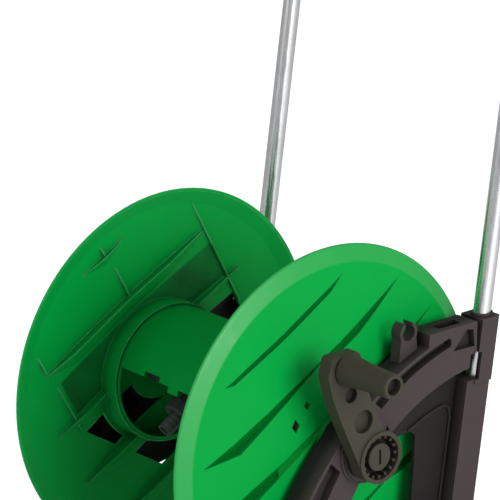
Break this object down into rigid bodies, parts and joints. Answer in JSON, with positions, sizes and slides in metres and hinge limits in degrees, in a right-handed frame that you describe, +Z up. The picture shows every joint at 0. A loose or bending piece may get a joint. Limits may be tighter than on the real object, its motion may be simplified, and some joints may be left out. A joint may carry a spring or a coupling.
{
  "type": "garden hose reel cart",
  "caption": "Wheeled garden hose reel: two-flange drum turned by a side crank in an arched side-frame cart with a tall tube handle.",
  "frame": {"origin": "on the floor, under the middle of the front foot bar", "axes": "+Z up, +X towards the crank side, +Y towards the handle and wheels"},
  "size_m": [0.5233, 0.469, 0.877],
  "materials": {
    "drum_green": "semi-gloss moulded plastic",
    "frame_charcoal": "fine-textured moulded plastic",
    "crank_charcoal": "fine-textured moulded plastic",
    "fitting_grey": "moulded plastic",
    "tube_aluminium": "bright drawn",
    "steel": "zinc plated",
    "bush_dark": "moulded acetal",
    "wheel_charcoal": "fine-textured moulded plastic",
    "hubcap_green": "semi-gloss moulded plastic",
    "tyre_rubber": "matte",
    "soft_rubber": "matte"
  },
  "bodies": {
    "frame": {"axle_cap_left": "steel", "axle_cap_right": "steel", "axle_tube": "tube_aluminium", "foot_pad_left": "soft_rubber", "foot_pad_right": "soft_rubber", "foot_screws": "steel", "front_foot_bar": "frame_charcoal", "handle_grip": "soft_rubber", "handle_tube_left": "tube_aluminium", "handle_tube_right": "tube_aluminium", "handlebar": "frame_charcoal", "hose_end_ring": "frame_charcoal", "hub_bush_left": "bush_dark", "hub_bush_right": "bush_dark", "side_frame_left": "frame_charcoal", "side_frame_right": "frame_charcoal", "tube_collar_left": "frame_charcoal", "tube_collar_right": "frame_charcoal", "tube_screws": "steel", "wheel_axle": "steel", "wheel_washer_left": "steel", "wheel_washer_right": "steel"},
    "drum": {"flange_right": "drum_green", "flange_left": "drum_green", "core_shell": "drum_green", "drum_shaft": "fitting_grey", "water_pipe": "fitting_grey", "pipe_nut": "fitting_grey", "outlet_nut": "fitting_grey", "outlet_tail": "fitting_grey", "crank_arm": "crank_charcoal", "crank_cap": "crank_charcoal", "crank_screw": "steel", "grip_pin": "steel"},
    "grip": {"crank_grip": "crank_charcoal"},
    "wheel_right": {"wheel_right": "wheel_charcoal", "tyre_right": "tyre_rubber", "hubcap_right": "hubcap_green", "wheel_bush_right": "bush_dark"},
    "wheel_left": {"wheel_left": "wheel_charcoal", "tyre_left": "tyre_rubber", "hubcap_left": "hubcap_green", "wheel_bush_left": "bush_dark"},
    "inlet": {"inlet_elbow": "fitting_grey", "inlet_thread": "fitting_grey", "inlet_o_rings": "soft_rubber"}
  },
  "joints": [
    {"name": "drum_spin", "type": "hinge", "parent": "frame", "child": "drum", "pos_m": [0, 0.095, 0.29], "axis": [1, 0, 0], "continuous": true},
    {"name": "grip_spin", "type": "hinge", "parent": "drum", "child": "grip", "pos_m": [0.25, 0.0485, 0.396], "axis": [1, 0, 0], "continuous": true},
    {"name": "wheel_right_spin", "type": "hinge", "parent": "frame", "child": "wheel_right", "pos_m": [0.213, 0.237, 0.085], "axis": [1, 0, 0], "continuous": true},
    {"name": "wheel_left_spin", "type": "hinge", "parent": "frame", "child": "wheel_left", "pos_m": [-0.213, 0.237, 0.085], "axis": [1, 0, 0], "continuous": true},
    {"name": "inlet_swivel", "type": "hinge", "parent": "frame", "child": "inlet", "pos_m": [-0.217, 0.095, 0.29], "axis": [1, 0, 0], "continuous": true}
  ]
}
